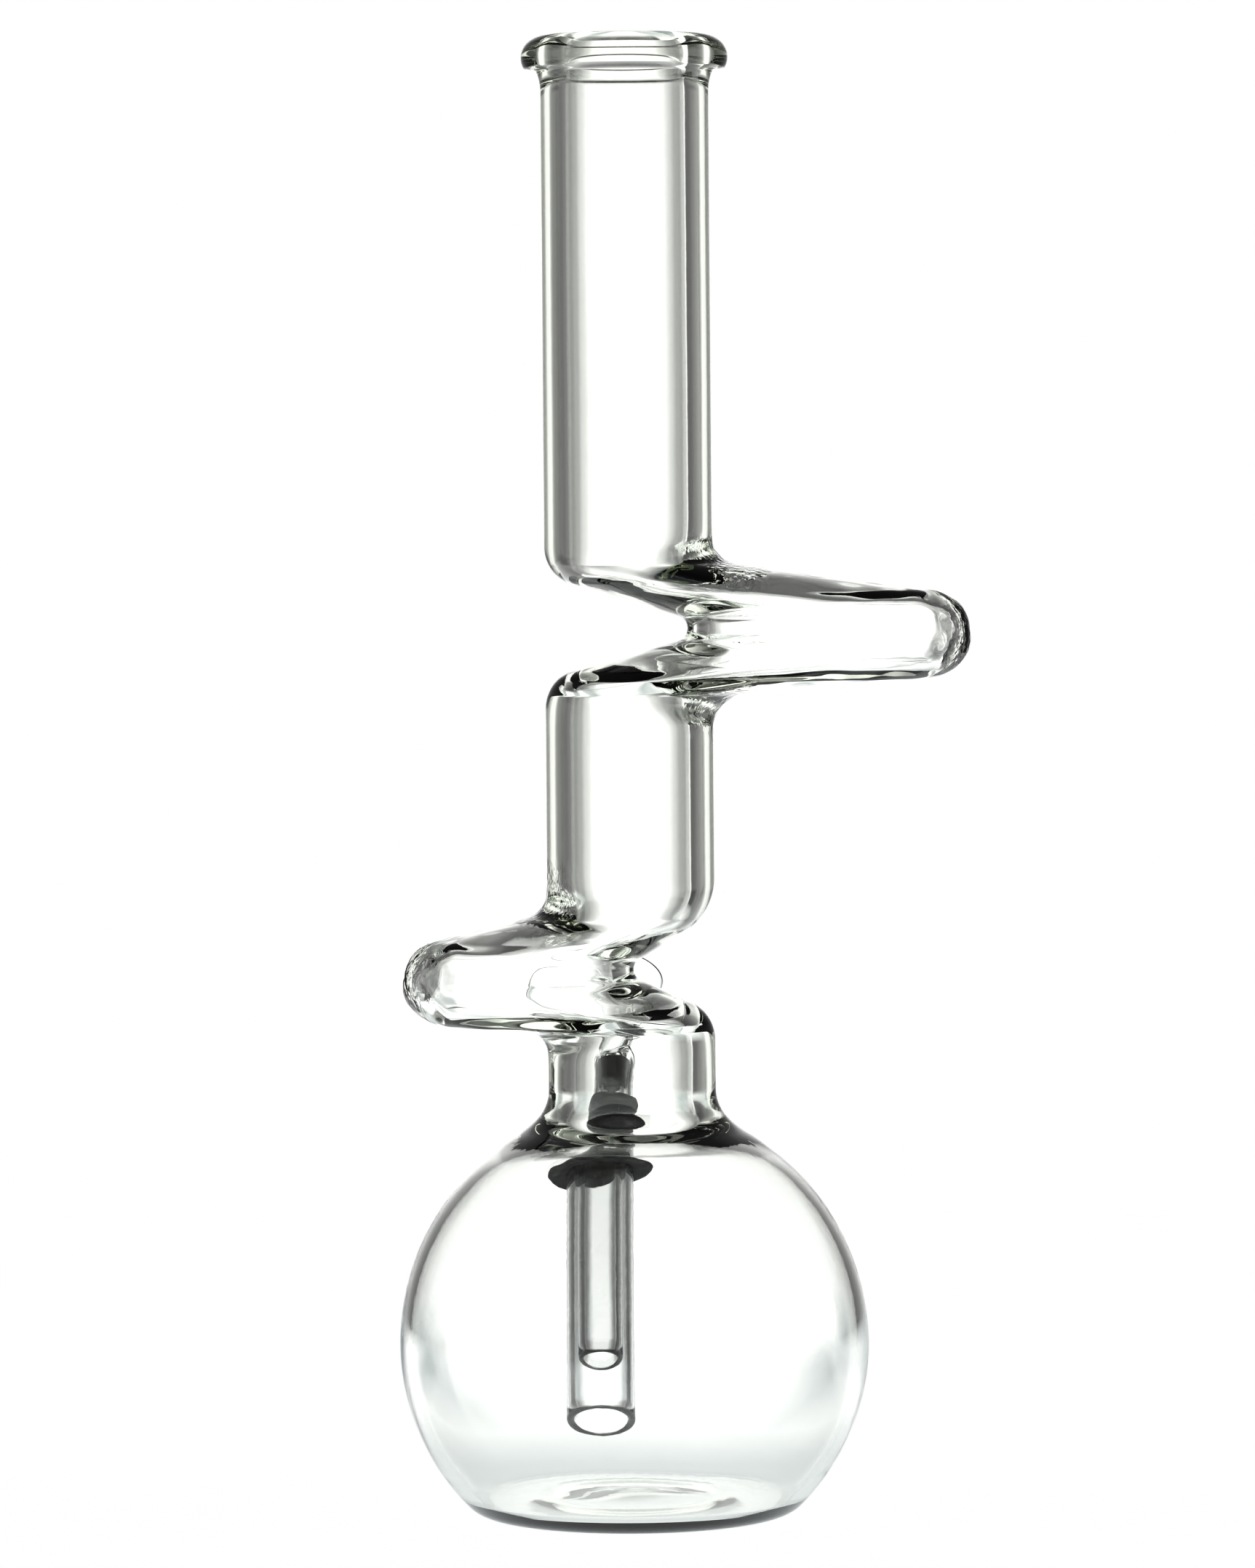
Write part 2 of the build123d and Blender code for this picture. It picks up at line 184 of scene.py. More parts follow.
def bell(distance, width):
    return math.exp(-((distance / width) ** 2))


def ring_faces(rings, around, closed):
    """Quads that join each ring to the next, and the last to the first if closed."""
    faces = []
    for i in range(rings if closed else rings - 1):
        j = (i + 1) % rings
        for k in range(around):
            m = (k + 1) % around
            faces.append((i * around + k, i * around + m, j * around + m, j * around + k))
    return faces


def arc(centre_r, centre_z, radius, start, end, steps):
    """Points of an arc in the (r, z) plane, angles in degrees."""
    points = []
    for i in range(steps + 1):
        t = math.radians(start + (end - start) * i / steps)
        points.append((centre_r + radius * math.cos(t), centre_z + radius * math.sin(t)))
    return points


def line(start, end, steps):
    """Points along a straight line in the (r, z) plane, without its first point."""
    points = []
    for i in range(1, steps + 1):
        t = i / steps
        points.append((start[0] + (end[0] - start[0]) * t, start[1] + (end[1] - start[1]) * t))
    return points


def spread_heights(fold, skin, rings):
    """Heights through a fold, evenly spaced along its outline."""
    steps = 4000                      # fine steps that the heights are chosen from
    samples = [fold.bottom + (fold.top - fold.bottom) * i / steps for i in range(steps + 1)]
    lengths, last = [0.0], None
    for z in samples:
        middle, a, b = fold.oval(z, skin)
        ends = (middle - a, middle + a)
        if last:
            run = max(abs(ends[0] - last[0]), abs(ends[1] - last[1]))
            lengths.append(lengths[-1] + math.hypot(samples[1] - samples[0], run))
        last = ends
    chosen, k = [], 0
    for i in range(rings):
        wanted = lengths[-1] * i / (rings - 1)
        while k < steps and lengths[k] < wanted:
            k += 1
        chosen.append(samples[k])
    return chosen


# ---- the fused glass body as one closed skin -----------------------------------------------------
AROUND = 128
FOLD_RINGS = 170
SMALLEST_RING = 0.05                  # rings about a pole stop at this radius


def round_rings(points):
    return [(0.0, r, r, z) for r, z in points]


def fold_rings(fold, skin):
    return [(*fold.oval(z, skin), z) for z in spread_heights(fold, skin, FOLD_RINGS)][1:-1]


def tube_points(radius, start, end, steps):
    return [(radius, z) for _, z in line((0, start), (0, end), steps)]


def outer_skin():
    """The outside from the middle of the foot up to the start of the rim."""
    points = [(SMALLEST_RING, FOOT_DIMPLE)]
    points += [(r, FOOT_DIMPLE * bell(r, 9)) for r in range(1, 29)]
    low_angle = math.degrees(math.atan2(FOOT_EDGE - BULB_Z, FOOT_EDGE_CENTRE))
    points += arc(FOOT_EDGE_CENTRE, FOOT_EDGE, FOOT_EDGE, -90, low_angle, 12)
    blend_r = NECK_R + OUTER_BLEND
    rise = math.sqrt((BULB_R + OUTER_BLEND) ** 2 - blend_r**2)
    high_angle = math.degrees(math.atan2(rise, blend_r))
    points += arc(0, BULB_Z, BULB_R, low_angle, high_angle, 90)[1:]
    points += arc(blend_r, BULB_Z + rise, OUTER_BLEND, 180 + high_angle, 180, 12)[1:]
    points += tube_points(NECK_R, BULB_Z + rise, lower_fold.bottom, 6)
    rings = round_rings(points)
    rings += fold_rings(lower_fold, 0)
    rings += round_rings([(NECK_R, lower_fold.top)])
    rings += round_rings(tube_points(NECK_R, lower_fold.top, upper_fold.bottom, 30))
    rings += fold_rings(upper_fold, 0)
    rings += round_rings([(NECK_R, upper_fold.top)])
    rings += round_rings(tube_points(NECK_R, upper_fold.top, RIM_START, 80))
    return rings


def rim_skin():
    """The rolled rim from the outer wall over the top to the bore."""
    steps, sweep_height, sweep_out = 8, 4.6, 0.9
    points = []
    for i in range(1, steps + 1):
        t = i / steps
        points.append((NECK_R + sweep_out * t**2.2, RIM_START + sweep_height * t))
    start = math.degrees(math.asin(-2.7 / BEAD_R)) + 6
    points += arc(BEAD_CENTRE, BEAD_Z, BEAD_R, start, 180, 34)
    points += tube_points(BORE_R, BEAD_Z, RIM_START, 6)
    return round_rings(points)


def inner_skin():
    """The bore from the rim down to the middle of the bulb's floor."""
    rings = round_rings(tube_points(BORE_R, RIM_START, upper_fold.top, 80))
    rings += list(reversed(fold_rings(upper_fold, 1)))
    rings += round_rings([(BORE_R, upper_fold.bottom)])
    rings += round_rings(tube_points(BORE_R, upper_fold.bottom, lower_fold.top, 30))
    rings += list(reversed(fold_rings(lower_fold, 1)))
    rings += round_rings([(BORE_R, lower_fold.bottom)])
    blend_r = BORE_R + INNER_BLEND
    rise = math.sqrt((BULB_IN_R + INNER_BLEND) ** 2 - blend_r**2)
    high_angle = math.degrees(math.atan2(rise, blend_r))
    points = tube_points(BORE_R, lower_fold.bottom, BULB_Z + rise, 8)
    points += arc(blend_r, BULB_Z + rise, INNER_BLEND, 180, 180 + high_angle, 12)[1:]
    edge = FOOT_EDGE - BULB_WALL
    edge_z = FLOOR + edge
    edge_r = math.sqrt((BULB_IN_R - edge) ** 2 - (BULB_Z - edge_z) ** 2)
    low_angle = math.degrees(math.atan2(edge_z - BULB_Z, edge_r))
    points += arc(0, BULB_Z, BULB_IN_R, high_angle, low_angle, 90)[1:]
    points += arc(edge_r, edge_z, edge, low_angle, -90, 12)[1:]
    steps = 44
    for i in range(1, steps + 1):
        r = edge_r * (1 - i / steps) + SMALLEST_RING
        boss = 0.9 * bell(r, 7) + 0.35 * bell(r - 18, 3.2)
        points.append((r, FLOOR + boss))
    return rings + round_rings(points)


# Extra glass on the outer (True) and inner (False) skin, in millimetres: where the neck is
# welded on, as (growth, height, width, greatest reach), in the folds' corners, and at notches.
NECK_WELD = {True: (0.5, 79.5, 4.0, 34), False: (0.6, 80.0, 3.4, 32)}
CORNER_GROWTH = {True: 0.35, False: 1.3}
NOTCH_GROWTH = {True: 0.0, False: 1.5}
FOLD_SPAN = 24                        # no fold grows glass further than this from its middle


def weld_growth(p, outer):
    """Extra glass where the neck is welded on, in the folds' corners and beside their notches."""
    x, y, z = p
    amount, height, width, greatest_reach = NECK_WELD[outer]
    grow = amount * bell(z - height, width) * (math.hypot(x, y) < greatest_reach)
    for fold in (lower_fold, upper_fold):
        h, out = z - fold.middle, x * fold.way
        if abs(h) > FOLD_SPAN:
            continue
        for sign in (1, -1):
            tip_side = fold.sides[sign > 0, 0][0]
            corner = fold.tip_middle + sign * (tip_side.corner_start + 1.5)
            lump = fold.notch_middle + sign * 5.6
            at_corner = bell(h - corner, 3.2) * bell(out - NECK_R - 1, 6.0) * bell(y, 13)
            at_notch = bell(h - lump, 2.3) * bell(out - fold.notch_out, 6.0) * bell(y, 7.5)
            grow += CORNER_GROWTH[outer] * at_corner + NOTCH_GROWTH[outer] * at_notch
    return grow


RIPPLE_SPAN = 22                      # a fold is uneven this far above and below its middle


def ripple(p, outer):
    """Hand-worked unevenness of the glass, in millimetres along the normal."""
    x, y, z = p
    seed = 0.0 if outer else 37.0     # the two skins are uneven in different places
    slow = noise.noise(Vector((x / 24, y / 24, z / 40 + seed)))
    if z < BULB_Z + 45:
        return 0.12 * slow * (1 if z > 9 else 0.4)
    folded = max(0.0, min(1.0, (math.hypot(x, y) - 19) / 14))
    near = tip = 0.0
    for fold in (lower_fold, upper_fold):
        away = abs(z - fold.middle)
        near = max(near, 1 - away / RIPPLE_SPAN)
        if away < RIPPLE_SPAN and x * fold.way > 0:
            tip = max(tip, min(1.0, (x * fold.way - fold.reach + 15) / 9))
    fast = noise.noise(Vector((x / 6.5, y / 6.5, z / 6.5 + seed * 3)))
    quick = noise.noise(Vector((x / 3.2, y / 3.2, z / 3.2 + seed * 5)))
    worked = 0.10 * near * fast + 0.10 * folded * fast
    return 0.05 * slow + worked + tip * (0.28 * fast + 0.26 * quick) * (0.45 if outer else 1.0)


def build_body():
    """The whole glass body as one closed skin, outside and inside."""
    outer = outer_skin()
    rim = rim_skin()
    inner = inner_skin()
    rings = outer + rim + inner
    split_at = len(outer) + len(rim) // 2
    verts = []
    for cx, a, b, z in rings:
        for k in range(AROUND):
            t = 2 * math.pi * k / AROUND
            verts.append([cx + a * math.cos(t), b * math.sin(t), z])
    count = len(rings)
    faces = ring_faces(count, AROUND, False)
    # each ring's normal by differences along and around, so that growth follows the wall
    moved = []
    for i in range(count):
        before, after = max(0, i - 1), min(count - 1, i + 1)
        is_outer = i < split_at
        for k in range(AROUND):
            here = Vector(verts[i * AROUND + k])
            along = Vector(verts[after * AROUND + k]) - Vector(verts[before * AROUND + k])
            right = Vector(verts[i * AROUND + (k + 1) % AROUND])
            left = Vector(verts[i * AROUND + (k - 1) % AROUND])
            normal = (right - left).cross(along)
            if normal.length < 1e-9:
                moved.append(here)
                continue
            normal.normalize()
            grow = ripple(here, is_outer) + weld_growth(here, is_outer)
            if here.z < 0.5 or (here.z < FLOOR + 1.5 and not is_outer):
                grow *= 0.3
            if here.z > TOP - 9:
                grow *= max(0.0, (TOP - here.z) / 9)
            moved.append(here + normal * grow)
    verts = [(v.x, v.y, max(v.z, 0.0)) for v in moved]
    # close the two poles
    faces.append(tuple(reversed(range(AROUND))))
    faces.append(tuple(range((count - 1) * AROUND, count * AROUND)))
    return make_object("glass_body", verts, faces)


body = build_body()

# ---- the downstem's axis, which leans back through the hole in the bulb --------------------------
STEM_TILT = math.radians(35)
STEM_AXIS = Vector((0, math.sin(STEM_TILT), math.cos(STEM_TILT)))
HOLE_X = -7.0
HOLE_Z = BULB_Z + 0.80 * BULB_R
HOLE_Y = math.sqrt(BULB_R**2 - (HOLE_Z - BULB_Z) ** 2 - HOLE_X**2)
HOLE = Vector((HOLE_X, HOLE_Y, HOLE_Z))
HOLE_R = 8.3
# stations along the axis, measured up it from the hole
STEM_BOTTOM, STEM_TOP = -66.7, 19.6
SLIDE_BOTTOM = -52.8
STEM_U = Vector((1, 0, 0))
STEM_V = STEM_AXIS.cross(STEM_U)


def stem_point(r, angle, s):
    """The point at radius r and an angle about the downstem's axis, s along it."""
    return HOLE + STEM_U * (r * math.cos(angle)) + STEM_V * (r * math.sin(angle)) + STEM_AXIS * s


def revolved(name, profile, around=72):
    """A closed (r, s) profile turned about the downstem's axis."""
    verts = []
    for r, s in profile:
        for k in range(around):
            verts.append(tuple(stem_point(r, 2 * math.pi * k / around, s)))
    return make_object(name, verts, ring_faces(len(profile), around, True))


def drill_hole(target):
    """Cut the grommet hole through the bulb's wall."""
    around, half_length = 96, 12
    verts = []
    for s in (-half_length, half_length):
        for k in range(around):
            verts.append(tuple(stem_point(HOLE_R, 2 * math.pi * k / around, s)))
    faces = ring_faces(2, around, False)
    faces += [tuple(reversed(range(around))), tuple(range(around, 2 * around))]
    cutter = make_object("hole_cutter", verts, faces, smooth=False)
    cut = target.modifiers.new("hole", "BOOLEAN")
    cut.operation = "DIFFERENCE"
    cut.solver = "EXACT"
    cut.object = cutter
    bpy.context.view_layer.update()
    evaluated = target.evaluated_get(bpy.context.evaluated_depsgraph_get())
    drilled = bpy.data.meshes.new_from_object(evaluated)
    target.modifiers.clear()
    target.data = drilled
    bpy.data.objects.remove(cutter, do_unlink=True)


drill_hole(body)


# ---- downstem, slide, seal and grommet -----------------------------------------------------------
def lip(r_in, r_out, s, up, steps=8):
    """Rounded lip from the outer wall to the inner wall (up) or from inner to outer (down)."""
    middle, half = (r_in + r_out) / 2, (r_out - r_in) / 2
    sign = 1 if up else -1
    points = []
    for i in range(steps + 1):
        t = math.pi * i / steps
        across, along = sign * half * math.cos(t), sign * half * (math.sin(t) - 1)
        points.append((middle + across, s + along))
    return points


# the downstem, which flares a little at its mouth
TUBE_BORE, TUBE_R = 5.5, 7.1
TUBE_LIP = (TUBE_R - TUBE_BORE) / 2
FLARE_OUT, FLARE_HEIGHT = 0.8, 6.2
FLARE_START = STEM_TOP - 7.0


def flared(radius, share):
    """The flare's point at a share of its height, for a wall of this radius."""
    return radius + FLARE_OUT * share**1.4, FLARE_START + FLARE_HEIGHT * share


tube_profile = lip(TUBE_BORE, TUBE_R, STEM_BOTTOM, up=False)
tube_profile += line((TUBE_R, STEM_BOTTOM + TUBE_LIP), (TUBE_R, FLARE_START), 30)
tube_profile += [flared(TUBE_R, i / 8) for i in range(1, 9)]
tube_profile += lip(TUBE_BORE + FLARE_OUT, TUBE_R + FLARE_OUT, STEM_TOP, up=True)[1:]
tube_profile += [flared(TUBE_BORE, 1 - i / 8) for i in range(1, 9)]
tube_profile += line((TUBE_BORE, FLARE_START), (TUBE_BORE, STEM_BOTTOM + TUBE_LIP), 30)[:-1]
stem = revolved("downstem_tube", tube_profile)

# the slide's funnel, as (radius, height above the bottom of the bowl)
FUNNEL = (
    (4.75, -0.6), (4.95, 0.4), (5.3, 1.6), (5.75, 3.0), (6.3, 4.5), (6.95, 6.0), (7.75, 7.8),
    (8.7, 9.8), (9.75, 11.9), (10.85, 14.0), (11.95, 16.0), (12.9, 17.5), (13.55, 18.25),
    (13.72, 18.6), (13.45, 18.85), (13.05, 18.82), (12.65, 18.5), (12.1, 17.8), (11.2, 16.4),
    (10.1, 14.5), (9.0, 12.4), (7.9, 10.2), (6.9, 8.1), (6.0, 6.2), (5.2, 4.5), (4.4, 3.2),
    (3.5, 2.5), (2.7, 2.15), (2.3, 1.8), (2.2, 1.3), (2.2, 0.6), (2.4, 0.0), (2.9, -0.7),
    (3.3, -1.7), (3.4, -2.8),
)
BOWL_BOTTOM = STEM_TOP + 0.5
SLIDE_BORE, SLIDE_R = 3.4, 4.7
SLIDE_LIP = (SLIDE_R - SLIDE_BORE) / 2
slide_profile = lip(SLIDE_BORE, SLIDE_R, SLIDE_BOTTOM, up=False)
slide_profile += line((SLIDE_R, SLIDE_BOTTOM + SLIDE_LIP), (SLIDE_R, BOWL_BOTTOM - 1.5), 26)
slide_profile += [(r, BOWL_BOTTOM + rise) for r, rise in FUNNEL]
slide_profile += line(
    (SLIDE_BORE, BOWL_BOTTOM - 2.8), (SLIDE_BORE, SLIDE_BOTTOM + SLIDE_LIP), 26
)[:-1]
slide = revolved("slide_glass", slide_profile)

# the tapered seal, as (radius, height above its bottom)
SEAL = (
    (4.75, 0.0), (5.05, 0.0), (5.22, 0.15), (5.4, 1.6), (5.6, 3.2), (5.8, 4.8), (5.96, 6.0),
    (5.98, 6.35), (5.8, 6.5), (5.2, 6.5), (4.85, 6.45), (4.75, 6.2), (4.75, 4.1), (4.75, 2.0),
)
SEAL_BOTTOM = STEM_TOP - 8.1
seal = revolved("seal_rubber", [(r, SEAL_BOTTOM + rise) for r, rise in SEAL], 64)


def sphere_crossing(radius, r, angle):
    """Where a line along the downstem at (r, angle) leaves a sphere about the bulb's centre."""
    start = stem_point(r, angle, 0) - Vector((0, 0, BULB_Z))
    along = start.dot(STEM_AXIS)
    return -along + math.sqrt(along**2 - start.length_squared + radius**2)


GROMMET_BORE = 7.16
SEAT_GAP = 0.05                       # between the rubber and the glass that it sits on
# the brim's edge and the inner flange, as (radius, height above the sphere they lie on)
BRIM_EDGE = ((9.1, 2.0), (9.35, 1.7), (9.6, 1.5), (9.8, 1.2), (9.9, 0.8), (9.85, 0.35))
FLANGE_EDGE = (
    (9.8, 0.0), (11.0, 0.0), (11.25, -0.3), (11.28, -0.7), (11.15, -1.1), (10.8, -1.35),
    (10.1, -1.4), (9.0, -1.4), (8.0, -1.4), (7.45, -1.3), (GROMMET_BORE, -1.0),
    (GROMMET_BORE, -0.4),
)


def build_grommet():
    """A closed ring: dome and brim outside the bulb, a neck in the hole and a flange inside."""
    around = 96
    outside, inside = BULB_R + SEAT_GAP, BULB_IN_R - SEAT_GAP
    neck_r = HOLE_R - SEAT_GAP
    profile = []                      # radius, the sphere it follows or None, height above that
    for i in range(7):
        t = math.radians(90 * i / 6)
        profile.append((7.55 + 0.6 * math.sin(t), None, 6.0 + 0.55 * math.cos(t)))
    for i in range(1, 6):
        profile.append((8.15 + 0.75 * i / 5, None, 6.0 - 3.2 * i / 5))
    profile += [(r, BULB_R, s) for r, s in BRIM_EDGE]
    profile += [(9.65, outside, 0.0), (9.0, outside, 0.0), (neck_r, outside, 0.0)]
    profile += [(neck_r, BULB_R - 0.8, 0.0), (neck_r, BULB_R - 1.6, 0.0), (neck_r, inside, 0.0)]
    profile += [(r, inside, s) for r, s in FLANGE_EDGE]
    profile += [(GROMMET_BORE, None, s) for s in (0.0, 2.5, 4.5, 6.1)]
    profile += [(7.3, None, 6.45)]
    verts = []
    for r, sphere, s in profile:
        for k in range(around):
            angle = 2 * math.pi * k / around
            height = s + (sphere_crossing(sphere, r, angle) if sphere else 0.0)
            if sphere is None and s > 0.5 and r > 8:       # the dome stands on the brim
                height = max(height, sphere_crossing(BULB_R, r, angle) + 2.1)
            verts.append(tuple(stem_point(r, angle, height)))
    return make_object("grommet_rubber", verts, ring_faces(len(profile), around, True))


grommet = build_grommet()


# ---- materials -----------------------------------------------------------------------------------
def node(tree, kind, **sockets):
    """A new node with plain values in its sockets; an underscore stands for a space."""
    made = tree.nodes.new(kind)
    for key, value in sockets.items():
        made.inputs[key.replace("_", " ")].default_value = value
    return made


def object_noise(tree, scale, detail, roughness=0.55):
    """Noise in the object's own coordinates, which are metres."""
    place = tree.nodes.new("ShaderNodeTexCoord")
    tex = node(tree, "ShaderNodeTexNoise", Scale=scale, Detail=detail, Roughness=roughness)
    tree.links.new(place.outputs["Object"], tex.inputs["Vector"])
    return tex


def ramp(tree, source, stops):
    """A colour ramp through the stops, which are (position, colour) in rising order."""
    made = tree.nodes.new("ShaderNodeValToRGB")
    elements = made.color_ramp.elements
    while len(elements) < len(stops):
        elements.new(0.5)
    for element, (position, colour) in zip(elements, stops):
        element.position = position
        element.color = (*colour, 1)
    tree.links.new(source, made.inputs["Fac"])
    return made


def linked_math(tree, operation, a, b=None):
    """A math node's result, from sockets or plain numbers."""
    made = tree.nodes.new("ShaderNodeMath")
    made.operation = operation
    for socket, value in zip(made.inputs, (a, b)):
        if value is None:
            continue
        if isinstance(value, (int, float)):
            socket.default_value = value
        else:
            tree.links.new(value, socket)
    return made.outputs["Value"]


def blank_material(name):
    material = bpy.data.materials.new(name)
    material.use_nodes = True
    tree = material.node_tree
    shader = tree.nodes["Principled BSDF"]
    return material, tree, shader


# Where the flame has left small wrinkles, in metres: from 5.2 mm inside the tips outwards, and in
# the corners of the folds, as (x, z) and their reach.
TIP_STARTS = [fold.way * (fold.reach - 5.2) * MM for fold in (lower_fold, upper_fold)]
TIP_BLEND = 0.002
CORNERS = ((0.0225, 0.1975), (0.0225, 0.1650), (-0.0215, 0.1300))
CORNER_REACH = 0.0075
ABOVE_BULB = (0.088, 0.092)           # heights between which the wrinkles start


def fade(tree, value, zero_at, one_at):
    """A value's share of the way from one level to another, kept within 0 and 1."""
    made = tree.nodes.new("ShaderNodeMapRange")
    tree.links.new(value, made.inputs["Value"])
    made.inputs["From Min"].default_value = zero_at
    made.inputs["From Max"].default_value = one_at
    return made.outputs["Result"]


def worked_share(tree):
    """1 on the fold tips and corners, 0 on the smooth glass."""
    place = tree.nodes.new("ShaderNodeTexCoord")
    split = tree.nodes.new("ShaderNodeSeparateXYZ")
    tree.links.new(place.outputs["Object"], split.inputs["Vector"])
    x, z = split.outputs["X"], split.outputs["Z"]
    lower_tip, upper_tip = TIP_STARTS
    share = linked_math(
        tree, "MAXIMUM",
        fade(tree, x, lower_tip, lower_tip - TIP_BLEND),
        fade(tree, x, upper_tip, upper_tip + TIP_BLEND),
    )
    share = linked_math(tree, "MULTIPLY", share, fade(tree, z, *ABOVE_BULB))
    for corner_x, corner_z in CORNERS:
        across = linked_math(tree, "SUBTRACT", x, corner_x)
        up = linked_math(tree, "SUBTRACT", z, corner_z)
        squared = linked_math(
            tree, "ADD",
            linked_math(tree, "MULTIPLY", across, across), linked_math(tree, "MULTIPLY", up, up),
        )
        away = linked_math(tree, "SQRT", squared)
        corner = fade(tree, away, CORNER_REACH, CORNER_REACH * 0.6)
        share = linked_math(tree, "MAXIMUM", share, corner)
    return share


def glass_material(name, tint, density, smears, dust=0.0, worked=False):
    """Clear glass: smears is its greatest roughness, dust the roughness of its specks."""
    material, tree, shader = blank_material(name)
    shader.inputs["Transmission Weight"].default_value = 1.0
    shader.inputs["IOR"].default_value = 1.47
    faint = object_noise(tree, 90, 4)
    colour = ramp(tree, faint.outputs["Fac"], [(0.3, (0.985, 0.992, 0.988)), (0.7, (1, 1, 1))])
    tree.links.new(colour.outputs["Color"], shader.inputs["Base Color"])
    smear = object_noise(tree, 45, 5, 0.6)
    smear_ramp = ramp(
        tree, smear.outputs["Fac"], [(0.45, (0, 0, 0)), (0.75, (smears,) * 3)]
    )
    roughness = smear_ramp.outputs["Color"]
    if dust > 0:
        specks = object_noise(tree, 900, 2, 0.5)
        speck_ramp = ramp(
            tree, specks.outputs["Fac"], [(0.70, (0, 0, 0)), (0.74, (dust, dust, dust))]
        )
        roughness = linked_math(tree, "MAXIMUM", roughness, speck_ramp.outputs["Color"])
    tree.links.new(roughness, shader.inputs["Roughness"])
    wave = object_noise(tree, 160, 3)
    height = linked_math(tree, "MULTIPLY", wave.outputs["Fac"], 0.05)
    if worked:
        cells = tree.nodes.new("ShaderNodeTexVoronoi")
        cells.inputs["Scale"].default_value = 620
        place = tree.nodes.new("ShaderNodeTexCoord")
        tree.links.new(place.outputs["Object"], cells.inputs["Vector"])
        wrinkles = linked_math(tree, "MULTIPLY", cells.outputs["Distance"], worked_share(tree))
        height = linked_math(tree, "ADD", height, linked_math(tree, "MULTIPLY", wrinkles, 0.7))
    bump = node(tree, "ShaderNodeBump", Strength=1.0, Distance=0.0003)
    tree.links.new(height, bump.inputs["Height"])
    tree.links.new(bump.outputs["Normal"], shader.inputs["Normal"])
    volume = tree.nodes.new("ShaderNodeVolumeAbsorption")
    volume.inputs["Color"].default_value = (*tint, 1)
    volume.inputs["Density"].default_value = density
    tree.links.new(volume.outputs["Volume"], tree.nodes["Material Output"].inputs["Volume"])
    return material


def rubber_material(name):
    """Matt black rubber with a fine grain and pale specks of dust."""
    material, tree, shader = blank_material(name)
    shader.inputs["Specular IOR Level"].default_value = 0.35
    cloud = object_noise(tree, 140, 6)
    base = ramp(
        tree, cloud.outputs["Fac"],
        [(0.30, (0.010, 0.010, 0.011)), (0.62, (0.022, 0.022, 0.024)), (0.85, (0.05, 0.05, 0.052))],
    )
    specks = object_noise(tree, 1500, 3, 0.6)
    speck = ramp(tree, specks.outputs["Fac"], [(0.66, (0, 0, 0)), (0.72, (0.7, 0.7, 0.7))])
    mix = tree.nodes.new("ShaderNodeMix")
    mix.data_type = "RGBA"
    tree.links.new(speck.outputs["Color"], mix.inputs[0])
    tree.links.new(base.outputs["Color"], mix.inputs[6])
    mix.inputs[7].default_value = (0.22, 0.22, 0.215, 1)
    tree.links.new(mix.outputs[2], shader.inputs["Base Color"])
    rough = ramp(tree, cloud.outputs["Fac"], [(0.3, (0.48,) * 3), (0.7, (0.72,) * 3)])
    tree.links.new(rough.outputs["Color"], shader.inputs["Roughness"])
    grain = object_noise(tree, 2600, 3)
    bump = node(tree, "ShaderNodeBump", Strength=0.35, Distance=0.00012)
    tree.links.new(grain.outputs["Fac"], bump.inputs["Height"])
    tree.links.new(bump.outputs["Normal"], shader.inputs["Normal"])
    return material


body_glass = glass_material("body_glass", (0.82, 0.90, 0.66), 20.0, 0.004, worked=True)
stem_glass = glass_material("stem_glass", (0.86, 0.92, 0.86), 9.0, 0.006, dust=0.20)
rubber = rubber_material("black_rubber")

pieces = (
    (body, "glass", body_glass, "body_glass", (
        "bulb_foot", "bulb_lower_wall", "bulb_upper_wall", "bulb_shoulder", "lower_neck",
        "lower_fold_lower_arm", "lower_fold_upper_arm", "middle_tube", "upper_fold_lower_arm",
        "upper_fold_upper_arm", "mouth_tube", "mouth_rim",
    )),
    (grommet, "glass", rubber, "black_rubber", ("wall_grommet",)),
    (stem, "stem", stem_glass, "stem_glass", ("downstem",)),
    (seal, "stem", rubber, "black_rubber", ("slide_seal",)),
    (slide, "slide", stem_glass, "stem_glass", ("slide_stem", "slide_bowl")),
)
for piece, rides_on, material, slot, nodes in pieces:
    piece.data.materials.clear()
    piece.data.materials.append(material)
    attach(piece, rides_on)
    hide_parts(*nodes)

# ---- floor ---------------------------------------------------------------------------------------
FLOOR_AROUND = 64
FLOOR_LEVEL = -0.05                   # just below the foot, so that the two never share a plane
floor_rings = [10, 80, 200, 350, 500, 650]
floor_verts = [(0, 0, FLOOR_LEVEL)]
for radius in floor_rings:
    for k in range(FLOOR_AROUND):
        t = 2 * math.pi * k / FLOOR_AROUND
        floor_verts.append((radius * math.cos(t), radius * math.sin(t), FLOOR_LEVEL))
floor_faces = [(0, 1 + k, 1 + (k + 1) % FLOOR_AROUND) for k in range(FLOOR_AROUND)]
for i in range(len(floor_rings) - 1):
    start = 1 + i * FLOOR_AROUND
    for k in range(FLOOR_AROUND):
        m = (k + 1) % FLOOR_AROUND
        outer = start + FLOOR_AROUND
        floor_faces.append((start + k, outer + k, outer + m, start + m))
floor = make_object("studio_floor", floor_verts, floor_faces)
floor_material, floor_tree, floor_shader = blank_material("studio_floor")
floor_shader.inputs["Base Color"].default_value = (0.2, 0.2, 0.2, 1)
floor_shader.inputs["Roughness"].default_value = 0.9
floor_shader.inputs["Specular IOR Level"].default_value = 0.0
floor_shader.inputs["Emission Strength"].default_value = 1.0
floor_place = floor_tree.nodes.new("ShaderNodeTexCoord")
floor_length = floor_tree.nodes.new("ShaderNodeVectorMath")
floor_length.operation = "LENGTH"
floor_tree.links.new(floor_place.outputs["Object"], floor_length.inputs[0])
